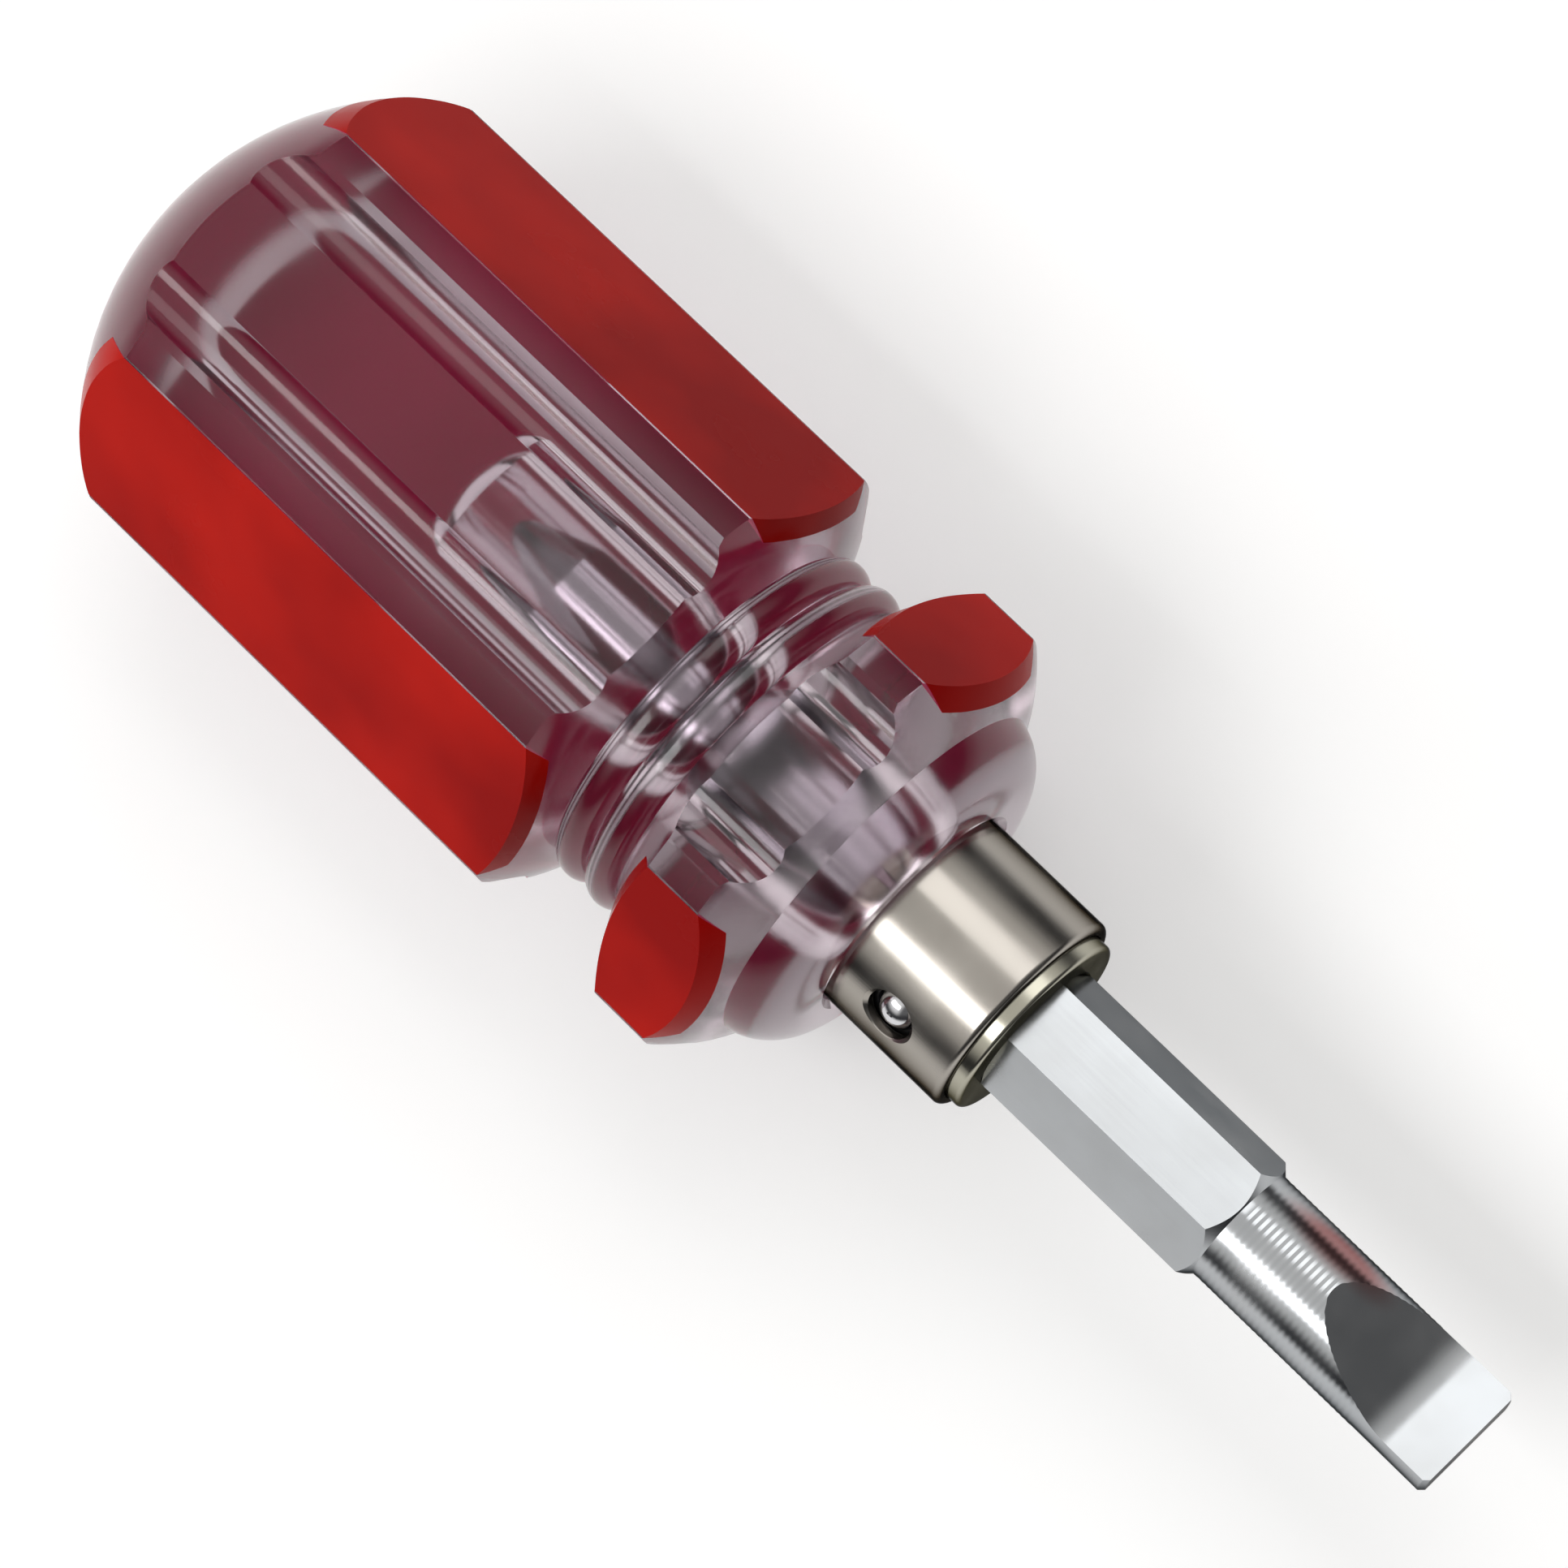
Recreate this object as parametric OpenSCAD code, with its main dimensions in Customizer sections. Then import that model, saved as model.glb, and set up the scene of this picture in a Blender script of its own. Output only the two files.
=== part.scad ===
// Pocket screwdriver: a clear stub handle with red flats, a plated ferrule and a double-ended bit.
// Each piece is drawn upright, its heights measured from the butt, and then laid down.
// The finished tool lies along X with its tip towards +X, resting on the lowest pair of red flats.

/* [Handle] */
// Diameter of the round stock, seen at the six rounded corners between the flats
handle_d = 26.5; // [25:0.5:30]
// Depth of the six flats below the round stock
flat_cut = 1.35; // [0.9:0.05:2]
// Length of the grip, from the butt to the front end of its rounded corners
grip_len = 33.9; // [30:0.1:50]
// Radius of the crown across the butt
crown_r = 16.4; // [15:0.1:20]
// Radius that rounds the edge of the crown
crown_edge_r = 6.3; // [5:0.1:8]
// How far the crown's rounded edge would reach out beyond the stock
crown_over = 0.85; // [0:0.05:1.5]
// Radius of the convex shoulders at the front of the grip and of the guard
shoulder_r = 10.5; // [8:0.1:12]
// Gap between the flats of the grip and those of the finger guard
neck_w = 8.1; // [7:0.1:12]
// Diameter at the bottom of the neck's grooves
neck_d = 18.4; // [17:0.1:19]
// Diameter over the rounded ridges of the neck
ridge_d = 20.3; // [19.2:0.1:21]
// Number of ridges round the neck
ridge_count = 2; // [1:1:4]
// Width of the guard's flats
guard_w = 3.2; // [2:0.1:8]
// Steepness of the guard's rear cone, from the axis
guard_slope = 60.5; // [50:0.5:75]
// Length of the nose in front of the guard's flats
nose_len = 5; // [4.6:0.1:8]
// Diameter of the rounded bead on the nose
bead_d = 20.3; // [18:0.1:20.6]
// Radius of the bead's rounding
bead_round = 3.4; // [2.4:0.1:3.6]
// Depth of the countersink round the ferrule
nose_sink = 0.4; // [0.1:0.05:0.8]
// Width of each shallow flute in the clear flats
flute_w = 2.8; // [2:0.1:3.4]
// Depth of the flutes
flute_depth = 0.6; // [0.3:0.05:0.9]
// Distance between the two flutes of a clear flat
flute_pitch = 7.9; // [5:0.1:8.6]

/* [Red strips] */
// Thickness of the red strips let into the flats
strip_t = 1; // [0.3:0.05:1.2]
// Clear margin left along each side of a strip
strip_lip = 0.1; // [0.05:0.05:0.5]
// Slant of a strip's sides, inwards from upright
strip_slant = 45; // [10:1:60]

/* [Ferrule and socket] */
// Thickness of the ferrule's wall
ferrule_wall = 0.58; // [0.4:0.02:1.2]
// Length of the ferrule
ferrule_len = 8.4; // [7.5:0.1:14]
// Depth that the ferrule is let into the face of the nose
ferrule_seat = 1.2; // [1:0.1:2]
// Rounding of the ferrule's front rim
ferrule_round = 0.35; // [0.1:0.05:0.5]
// Length of the socket that shows in front of the ferrule
socket_lip = 0.8; // [0.4:0.1:4]
// Bevel round the socket's mouth
socket_bevel = 0.25; // [0.1:0.05:0.5]
// Slope of the flare inside the socket's mouth, from the axis
mouth_slope = 30; // [20:1:45]
// Step from the socket's body in to its splined tail
tail_step = 0.75; // [0.5:0.05:0.9]
// Depth of the tail below the face of the nose
tail_depth = 3; // [2:0.1:8]
// Length of the handle's spigot, from the face of the nose
spigot_len = 0.5; // [0.4:0.1:1]
// Number of spline grooves in the tail
spline_count = 16; // [8:1:20]
// Depth of a spline groove
spline_depth = 0.25; // [0.1:0.05:0.3]

/* [Detent] */
// Diameter of the detent ball
ball_d = 2.4; // [2:0.1:2.6]
// Distance of the ball behind the ferrule's front rim
ball_setback = 4; // [3.6:0.1:4.2]
// Diameter of the window in the ferrule
window_d = 2.6; // [2.5:0.05:3.4]
// Width of the bevel round the window
window_bevel = 0.2; // [0.05:0.05:0.25]
// Thickness of the spring band round the socket
spring_t = 0.2; // [0.15:0.05:0.25]
// Width of the spring band
spring_w = 3.2; // [2.8:0.1:3.4]
// Diameter of the hole that holds the ball in the spring band
spring_hole_d = 2.3; // [1.9:0.05:2.3]
// Opening between the two ends of the spring band
spring_gap = 3; // [1:0.5:5]
// How far the spring band can lift before it meets the ferrule
spring_lift = 0.177; // [0.1:0.001:0.3]
// Depth of the spring's groove in the socket
spring_groove = 0.45; // [0.4:0.05:0.55]

/* [Bit] */
// Width across the flats of the hexagonal shank
hex_af = 6.35; // [5.5:0.05:6.4]
// Overall length of the double-ended bit
bit_len = 62.2; // [55:0.1:64]
// Length of the round part at each end
shank_len = 14.6; // [12:0.1:18]
// Diameter of the round ends
shank_d = 6.2; // [5:0.1:6.2]
// How far the bit stands out of the socket
bit_reach = 27.9; // [24:0.1:34]
// Turn of the hexagon's topmost flat away from upright
bit_turn = 8; // [0:1:59]
// Slope of the bevel at each end of the hexagon, from the axis
hex_bevel = 45; // [30:1:60]
// Thickness of the slotted blade at its edge
blade_t = 1.8; // [0.8:0.1:2]
// Turn of the slotted blade from a flat of the hexagon
blade_skew = 6; // [0:1:30]
// Bevel round the very end of the blade
tip_bevel = 0.25; // [0.05:0.05:0.5]
// Length of the ground faces of the blade
blade_ground = 9.1; // [8:0.1:12]
// Length of the parallel part of the blade
blade_flat = 3.4; // [2.5:0.1:5]
// Radius that blends the blade's slope into its parallel part
blade_round = 5; // [2:0.5:8]
// Thickness of the cross point's wings at the point
wing_t = 1; // [0.8:0.05:1.4]
// Length of the grooves between the wings
wing_len = 8; // [6:0.1:10]
// Half angle of the cross point's long cone
cross_cone = 26.5; // [22:0.5:35]
// Diameter where the long cone meets the blunt end
cross_blunt_d = 2.5; // [1.6:0.1:3]
// Diameter of the small flat on the very end
cross_flat_d = 1; // [0.6:0.1:1.4]
// Length of the blunt end
cross_blunt_len = 0.55; // [0.3:0.05:1]

/* [Clearances] */
// Gap round a pressed or let-in piece
press_gap = 0.02; // [0.01:0.01:0.04]
// Gap between the bit's flats and the socket
slide_gap = 0.05; // [0.03:0.01:0.1]
// Gap between the bit's corners and the wide front of the handle's bore
bore_gap = 0.06; // [0.04:0.01:0.2]
// Gap between the bit's round end and the narrow rear of the bore
shank_gap = 0.18; // [0.1:0.01:0.3]
// Free length between the bit's hexagon and the step in the bore
step_spare = 0.3; // [0.2:0.1:1]
// Gap between the ball and what it moves past
ball_gap = 0.03; // [0.02:0.01:0.06]
// Gap between the ball and the bit's flat
ball_rest_gap = 0.055; // [0.03:0.005:0.08]
// Free depth of the bore behind the bit
bore_spare = 3; // [0.5:0.1:6]
// Depth of the bore's dished end
bore_dish = 1.5; // [0.4:0.1:3]

/* [Hidden] */

$fn = 96;
flats = 3;
flat_turn = 360 / flats;
hex_turn = 30;
upward = 180;
overrun = 1;

// Cross-section of the handle: round stock with red and clear flats by turns
handle_r = handle_d / 2;
flat_h = handle_r - flat_cut;
flat_w = 2 * sqrt(pow(handle_r, 2) - pow(flat_h, 2));
flute_r = (pow(flute_w / 2, 2) + pow(flute_depth, 2)) / (2 * flute_depth);

// Heights along the tool, from the butt
guard_back = grip_len + neck_w;
guard_front = guard_back + guard_w;
nose_face = guard_front + nose_len;
ferrule_back = nose_face - ferrule_seat;
ferrule_front = ferrule_back + ferrule_len;
socket_back = nose_face - tail_depth;
spigot_end = nose_face + spigot_len;
socket_front = ferrule_front + socket_lip;
tool_len = socket_front + bit_reach;
bit_back = tool_len - bit_len;
bore_bottom = bit_back - bore_spare;
bore_step = bit_back + shank_len - step_spare;
ball_height = ferrule_front - ball_setback;

// Crown: where its rounded edge is centred, where the two curves meet and where the stock's side starts
edge_x = handle_r + crown_over - crown_edge_r;
edge_z = crown_r - sqrt(pow(crown_r - crown_edge_r, 2) - pow(edge_x, 2));
crown_join = edge_x * crown_r / (crown_r - crown_edge_r);
crown_end = edge_z - sqrt(pow(crown_edge_r, 2) - pow(handle_r - edge_x, 2));

// Angle from the axis at which each shoulder leaves its flats
grip_runout = 53.3;
guard_runout = 42.5;

// Neck: its ridges share the length between the grip's shoulder and the guard's cone
neck_r = neck_d / 2;
shoulder_x = handle_r - shoulder_r * cos(grip_runout);
neck_start = grip_len - shoulder_r * sin(grip_runout) + sqrt(pow(shoulder_r, 2) - pow(neck_r - shoulder_x, 2));
neck_end = guard_back - (handle_r - neck_r) / tan(guard_slope);
ridge_pitch = (neck_end - neck_start) / ridge_count;
ridge_round = ridge_pitch / 2;

// Bores that the bit passes through
hex_r = hex_af / 2;
hex_corner_r = hex_r / cos(hex_turn);
socket_hex_r = hex_r + slide_gap;
bore_r = hex_corner_r + bore_gap;
shank_r = shank_d / 2;
shank_bore_r = shank_r + shank_gap;
dish_r = (pow(shank_bore_r, 2) + pow(bore_dish, 2)) / (2 * bore_dish);

// Detent: the ball stands on one flat of the bit and the band's hole holds it down
key_angle = upward - bit_turn;
ball_angle = key_angle + 60;
ball_r = ball_d / 2;
ball_x = hex_r + ball_rest_gap + ball_r;
spring_hold = sqrt(pow(ball_r, 2) - pow(spring_hole_d / 2, 2));
spring_in_r = ball_x + spring_hold + press_gap;
spring_out_r = spring_in_r + spring_t;
groove_w = spring_w + 2 * ball_gap;
stake_t = 0.2;
stake_d = 2;

// Pressed fits, from the spring band outwards
ferrule_bore_r = spring_out_r + spring_lift;
ferrule_r = ferrule_bore_r + ferrule_wall;
socket_r = ferrule_bore_r - press_gap;
groove_r = socket_r - spring_groove;
tail_r = socket_r - tail_step;

// Bit
blade_half = blade_t / 2;
blade_slope = atan((shank_r - blade_half) / (blade_ground - blade_flat));
blade_tangent = blade_round * tan(blade_slope / 2);
cross_web = wing_t / sqrt(2);
wing_slope = atan((shank_r - cross_web) / wing_len);
cross_cone_len = (shank_d - cross_blunt_d) / 2 / tan(cross_cone);

// Lays an upright piece along X and lifts it so that the lowest flats are at height zero
module lay() {
    translate([-tool_len / 2, 0, flat_h]) rotate([0, 90, 0]) children();
}

// Places a piece once on each flat, starting from the lowest red one or the topmost clear one
module on_each_flat(start) {
    for (i = [0 : flats - 1]) rotate([0, 0, start + i * flat_turn]) children();
}

// Upright hexagonal bar of a given half width, with one flat facing the given way
module hex_bar(half_width, height, facing) {
    rotate([0, 0, facing + hex_turn]) cylinder(r = half_width / cos(hex_turn), h = height, $fn = 6);
}

// Half section of a convex shoulder that runs out from the flats at the given height
module shoulder_section(height, runout) {
    centre = [handle_r - shoulder_r * cos(runout), height - shoulder_r * sin(runout)];
    intersection() {
        translate(centre) circle(r = shoulder_r);
        translate([0, height]) square([handle_r, shoulder_r]);
    }
    translate([0, height]) square([centre[0], centre[1] + shoulder_r - height]);
}

// Half section of the grip with its crowned butt
module grip_section() {
    intersection() {
        translate([0, crown_r]) circle(r = crown_r);
        square([crown_join, edge_z]);
    }
    intersection() {
        translate([edge_x, edge_z]) circle(r = crown_edge_r);
        square([handle_r, edge_z]);
    }
    translate([0, crown_end]) square([handle_r, grip_len - crown_end]);
    shoulder_section(grip_len, grip_runout);
}

// Half section of the ridged neck
module neck_section() {
    translate([0, grip_len]) square([neck_r, neck_w]);
    for (i = [0 : ridge_count - 1])
        translate([ridge_d / 2 - ridge_round, neck_start + (i + 0.5) * ridge_pitch]) circle(r = ridge_round);
}

// Half section of the finger guard
module guard_section() {
    polygon([[0, neck_end], [neck_r, neck_end], [handle_r, guard_back], [0, guard_back]]);
    translate([0, guard_back]) square([handle_r, guard_w]);
    shoulder_section(guard_front, guard_runout);
}

// Half section of the beaded nose and the spigot inside the ferrule
module nose_section() {
    bead_r = bead_d / 2;
    translate([bead_r - bead_round, nose_face - bead_round]) circle(r = bead_round);
    translate([0, guard_front]) square([bead_r, nose_len - bead_round]);
    translate([0, guard_front]) square([bead_r - bead_round, nose_len]);
    translate([0, nose_face]) square([socket_r, spigot_len]);
}

// Half section of everything that is bored or turned out of the handle
module handle_cuts_section() {
    intersection() {
        translate([0, bore_bottom + dish_r]) circle(r = dish_r);
        translate([0, bore_bottom]) square([shank_bore_r, bore_dish]);
    }
    translate([0, bore_bottom + bore_dish]) square([shank_bore_r, bore_step - bore_bottom]);
    translate([0, bore_step]) square([bore_r, spigot_end - bore_step + overrun]);
    translate([0, socket_back - press_gap]) square([tail_r + press_gap, tail_depth + spigot_len + overrun]);
    translate([socket_r, ferrule_back - press_gap])
        square([ferrule_r + press_gap - socket_r, ferrule_seat + spigot_len + overrun]);
    translate([ferrule_r, nose_face - nose_sink]) polygon([
        [0, 0],
        [press_gap, 0],
        [press_gap + nose_sink + overrun, nose_sink + overrun],
        [0, nose_sink + overrun]
    ]);
}

// One of the two shallow flutes of a clear flat, and its twin
module flute_pair() {
    for (side = [-1, 1])
        translate([flat_h + flute_r - flute_depth, side * flute_pitch / 2, -overrun])
            cylinder(r = flute_r, h = nose_face + 2 * overrun);
}

// Bar of the red strip's width, as deep as the strip and reaching out past the flat
module strip_bar(from, length, out) {
    outer = flat_w / 2 - strip_lip;
    inner = outer - strip_t * tan(strip_slant);
    translate([flat_h, 0, from]) linear_extrude(height = length) polygon([
        [-strip_t, -inner],
        [0, -outer],
        [out, -outer],
        [out, outer],
        [0, outer],
        [-strip_t, inner]
    ]);
}

// Clear handle
module handle() {
    color([0.83, 0.76, 0.80, 0.4]) lay() difference() {
        intersection() {
            rotate_extrude() difference() {
                union() {
                    grip_section();
                    neck_section();
                    guard_section();
                    nose_section();
                }
                handle_cuts_section();
            }
            hex_bar(flat_h, spigot_end, 0);
        }
        on_each_flat(upward) flute_pair();
        on_each_flat(0) {
            strip_bar(-overrun, neck_start + overrun, overrun);
            strip_bar(neck_end, nose_face - neck_end, overrun);
        }
    }
}

// Red strip let into one flat of the grip
module grip_strip(place) {
    color([0.72, 0.07, 0.05]) lay() rotate([0, 0, place * flat_turn]) intersection() {
        rotate_extrude() grip_section();
        strip_bar(0, neck_start, overrun);
        hex_bar(flat_h, neck_start, 0);
    }
}

// Red strip let into one flat of the guard
module guard_strip(place) {
    color([0.72, 0.07, 0.05]) lay() rotate([0, 0, place * flat_turn]) intersection() {
        rotate_extrude() guard_section();
        strip_bar(neck_end, nose_face - neck_end, overrun);
        hex_bar(flat_h, nose_face, 0);
    }
}

// Plated ferrule with the window for the ball
module ferrule() {
    color([0.80, 0.76, 0.66]) lay() difference() {
        rotate_extrude() difference() {
            union() {
                translate([0, ferrule_back]) square([ferrule_r, ferrule_len - ferrule_round]);
                translate([0, ferrule_back]) square([ferrule_r - ferrule_round, ferrule_len]);
                translate([ferrule_r - ferrule_round, ferrule_front - ferrule_round]) circle(r = ferrule_round);
            }
            translate([0, ferrule_back - overrun]) square([ferrule_bore_r, ferrule_len + 2 * overrun]);
        }
        at_ball() {
            cylinder(d = window_d, h = 2 * ferrule_r);
            translate([0, 0, ferrule_r - window_bevel])
                cylinder(d1 = window_d, d2 = window_d + 4 * window_bevel, h = 2 * window_bevel);
        }
    }
}

// Turns a tool that points up from the axis to the ball's place
module at_ball() {
    rotate([0, 0, ball_angle]) translate([0, 0, ball_height]) rotate([0, 90, 0]) children();
}

// Steel socket with a hexagonal bore, a splined tail and the spring's groove
module socket() {
    color([0.74, 0.73, 0.68]) lay() difference() {
        rotate_extrude() difference() {
            union() {
                translate([0, socket_back]) square([tail_r, tail_depth + spigot_len]);
                polygon([
                    [0, spigot_end],
                    [socket_r, spigot_end],
                    [socket_r, socket_front - socket_bevel],
                    [socket_r - socket_bevel, socket_front],
                    [0, socket_front]
                ]);
            }
            translate([groove_r, ball_height - groove_w / 2]) square([spring_groove + overrun, groove_w]);
        }
        translate([0, 0, socket_back - overrun])
            hex_bar(socket_hex_r, socket_front - socket_back + 2 * overrun, key_angle);
        translate([0, 0, socket_front - socket_bevel])
            cylinder(r1 = socket_hex_r, r2 = socket_hex_r + 2 * socket_bevel / tan(mouth_slope), h = 2 * socket_bevel);
        for (i = [0 : spline_count - 1])
            rotate([0, 0, i * 360 / spline_count])
                translate([tail_r, 0, socket_back - overrun])
                    cylinder(r = spline_depth, h = tail_depth + spigot_len + overrun);
        at_ball() {
            translate([0, 0, socket_hex_r + stake_t]) cylinder(d = ball_d + 2 * ball_gap, h = 2 * socket_r);
            cylinder(d = stake_d, h = 2 * socket_r);
        }
    }
}

// Open spring band that presses the ball down
module detent_spring() {
    color([0.55, 0.55, 0.57]) lay() difference() {
        translate([0, 0, ball_height - spring_w / 2]) difference() {
            cylinder(r = spring_out_r, h = spring_w);
            translate([0, 0, -overrun]) cylinder(r = spring_in_r, h = spring_w + 2 * overrun);
            rotate([0, 0, ball_angle + 180]) translate([0, -spring_gap / 2, -overrun])
                cube([2 * socket_r, spring_gap, spring_w + 2 * overrun]);
        }
        at_ball() cylinder(d = spring_hole_d, h = 2 * socket_r);
    }
}

// Detent ball
module detent_ball() {
    color([0.82, 0.82, 0.84]) lay() at_ball() translate([0, 0, ball_x]) sphere(d = ball_d);
}

// Hexagonal middle of the bit, bevelled at both ends by cones that run out past its corners
module bit_hexagon() {
    bevel_r = hex_corner_r + overrun;
    bevel_len = (bevel_r - shank_r) / tan(hex_bevel);
    hex_len = bit_len - 2 * shank_len;
    translate([0, 0, shank_len]) intersection() {
        hex_bar(hex_r, hex_len, key_angle);
        rotate_extrude() polygon([
            [0, 0],
            [shank_r, 0],
            [bevel_r, bevel_len],
            [bevel_r, hex_len - bevel_len],
            [shank_r, hex_len],
            [0, hex_len]
        ]);
    }
}

// Round bar of the bit, pointed at its rear end
module bit_bar() {
    rotate_extrude() polygon([
        [0, 0],
        [cross_flat_d / 2, 0],
        [cross_blunt_d / 2, cross_blunt_len],
        [shank_r, cross_blunt_len + cross_cone_len],
        [shank_r, bit_len - tip_bevel],
        [shank_r - tip_bevel, bit_len],
        [0, bit_len]
    ]);
}

// Side view of what is ground away above the blade, measured out from the axis and along the bit
module blade_grind() {
    corner = [blade_half, bit_len - blade_flat];
    slope_way = [sin(blade_slope), -cos(blade_slope)];
    slope_end = corner + (blade_ground + overrun) * slope_way;
    slope_tangent = corner + blade_tangent * slope_way;
    flat_tangent = corner + [0, blade_tangent];
    polygon([
        slope_tangent,
        slope_end,
        [slope_end[0], bit_len + overrun],
        [blade_half, bit_len + overrun],
        flat_tangent
    ]);
    intersection() {
        translate([blade_half + blade_round, flat_tangent[1]]) circle(r = blade_round);
        polygon([slope_tangent, corner, flat_tangent]);
    }
}

// Groove between two wings of the cross point
module cross_groove() {
    translate([cross_web, 0, 0]) rotate([0, wing_slope, 0]) translate([0, 0, -shank_d])
        linear_extrude(height = shank_d + 2 * wing_len)
            polygon([[0, 0], [shank_d, shank_d], [shank_d, -shank_d]]);
}

// Double-ended bit: a slotted blade in front and a cross point inside the handle
module bit() {
    color([0.72, 0.73, 0.75]) lay() translate([0, 0, bit_back]) difference() {
        union() {
            bit_hexagon();
            bit_bar();
        }
        rotate([0, 0, key_angle - blade_skew])
            for (side = [0, 1])
                mirror([side, 0, 0]) rotate([90, 0, 0])
                    linear_extrude(height = 2 * shank_d, center = true) blade_grind();
        for (i = [0 : 3]) rotate([0, 0, key_angle + 45 + i * 90]) cross_groove();
    }
}

handle();
grip_strip(0);  // grip_strip_bottom
grip_strip(1);  // grip_strip_left
grip_strip(2);  // grip_strip_right
guard_strip(0);  // guard_strip_bottom
guard_strip(1);  // guard_strip_left
guard_strip(2);  // guard_strip_right
ferrule();
socket();
detent_spring();
detent_ball();
bit();
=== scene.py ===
"""A pocket screwdriver lying on its red flats: clear handle, plated ferrule, double-ended bit."""
import math

import bmesh
import bpy
from mathutils import Matrix, Vector, geometry


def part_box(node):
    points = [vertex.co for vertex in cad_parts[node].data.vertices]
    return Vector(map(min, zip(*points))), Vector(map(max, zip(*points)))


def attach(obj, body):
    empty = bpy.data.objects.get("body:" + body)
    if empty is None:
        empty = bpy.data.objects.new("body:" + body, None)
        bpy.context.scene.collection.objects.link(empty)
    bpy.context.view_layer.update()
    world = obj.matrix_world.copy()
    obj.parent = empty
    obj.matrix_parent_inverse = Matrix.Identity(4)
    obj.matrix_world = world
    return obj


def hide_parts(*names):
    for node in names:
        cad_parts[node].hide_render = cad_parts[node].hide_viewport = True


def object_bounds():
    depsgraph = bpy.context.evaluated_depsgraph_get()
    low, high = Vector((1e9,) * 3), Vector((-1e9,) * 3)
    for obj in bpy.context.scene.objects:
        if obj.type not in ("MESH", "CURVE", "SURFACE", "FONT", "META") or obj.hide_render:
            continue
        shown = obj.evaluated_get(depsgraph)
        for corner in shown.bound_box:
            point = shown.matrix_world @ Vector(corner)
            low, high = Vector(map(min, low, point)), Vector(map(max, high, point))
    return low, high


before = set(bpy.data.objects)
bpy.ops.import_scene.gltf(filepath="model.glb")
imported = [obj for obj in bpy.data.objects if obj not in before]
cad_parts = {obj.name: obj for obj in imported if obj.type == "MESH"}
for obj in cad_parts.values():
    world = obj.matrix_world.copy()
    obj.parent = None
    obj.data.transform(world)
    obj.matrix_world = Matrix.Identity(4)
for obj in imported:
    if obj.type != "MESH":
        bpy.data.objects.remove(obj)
cad_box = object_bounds()

# Handle: one bar of clear acetate, turned to a crowned grip, a ridged neck, a finger guard and a
# beaded nose. Six flats are milled on it, with two shallow flutes in each clear one and a slot for
# the strips in each red one. A blind bore takes the rear half of the bit.
mm = 0.001
butt = cad_box[0].x
axis_height = sum(corner.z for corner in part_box("detent_spring")) / 2

# Sizes are in millimetres from the butt and out from the tool's axis, and angles in degrees.
stock_r, flat_r = 13.25, 11.9
grip_len, guard_back, guard_front, nose_face = 33.9, 42, 45.2, 50.2
crown_r, crown_edge_r, crown_over, shoulder_r = 16.4, 6.3, 0.85, 10.5
grip_runout, guard_runout, guard_slope = 53.3, 42.5, 60.5
neck_r, ridge_r, ridges = 9.2, 10.15, 2
bead_r, bead_round, nose_sink = 10.15, 3.4, 0.4
flute_w, flute_depth, flute_pitch = 2.8, 0.6, 7.9
seat_r, seat_floor, spigot_r, spigot_end = 5.77, 48.98, 5.15, 50.7
tail_bore_r, tail_floor, bore_r = 4.42, 47.18, 3.726
shank_bore_r, bore_step, bore_bottom, bore_dish = 3.28, 38.2, 20.9, 1.5
strip_t, strip_lip, strip_slant, strip_bite = 1, 0.1, 45, 0.02
slot_blank_r, cutter_over = 20, 1
red_turns, clear_turns = (0, 120, 240), (60, 180, 300)
weld, on_plane = 1e-4, 1e-5

acetate_ior = 1.49
acetate_colour = (0.86, 0.80, 0.84, 1)
acetate_tint, acetate_density = (0.79, 0.74, 0.765, 1), 92.0


def verts_in(geom):
    """The vertices among what an operator hands back."""
    return [part for part in geom if isinstance(part, bmesh.types.BMVert)]


def draw_line(bm, pen, to):
    """Draws a line from the pen and returns its end."""
    pen = bmesh.ops.extrude_vert_indiv(bm, verts=[pen])["verts"][0]
    pen.co = to
    return pen


def draw_arc(bm, pen, centre, swing, steps):
    """Draws an arc from the pen about a centre, in an upright plane, and returns its end."""
    swept = bmesh.ops.spin(bm, geom=[pen], cent=centre, axis=(0, 1, 0), angle=swing, steps=steps)
    return verts_in(swept["geom_last"])[0]


def turned(start, moves, closed=True, steps=192, arc_step=3.5):
    """Half section drawn from start (along, out) by lines to (along, out) and arcs (centre, end),
    then spun about the tool's axis."""
    bm = bmesh.new()
    pen = first = bm.verts.new((start[0], 0, start[1]))
    for to in moves:
        if isinstance(to[0], tuple):
            centre, end = Vector(to[0]), Vector(to[1])
            a, b = Vector((pen.co.x, pen.co.z)) - centre, end - centre
            swing = math.remainder(math.atan2(b.x, b.y) - math.atan2(a.x, a.y), math.tau)
            pen = draw_arc(bm, pen, (centre.x, 0, centre.y), swing,
                           max(2, math.ceil(abs(math.degrees(swing)) / arc_step)))
        else:
            pen = draw_line(bm, pen, (to[0], 0, to[1]))
    if closed:
        bm.edges.new((pen, first))
    bmesh.ops.spin(bm, geom=bm.verts[:] + bm.edges[:], cent=(0, 0, 0), axis=(1, 0, 0),
                   angle=math.tau, steps=steps, use_merge=True)
    bmesh.ops.remove_doubles(bm, verts=bm.verts, dist=weld)
    bmesh.ops.recalc_face_normals(bm, faces=bm.faces)
    return bm


def out_from_axis(turn):
    """Unit vector square to the tool's axis: turn 0 points down, 90 to the left and 180 up."""
    return Vector((0, math.sin(math.radians(turn)), -math.cos(math.radians(turn))))


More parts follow.
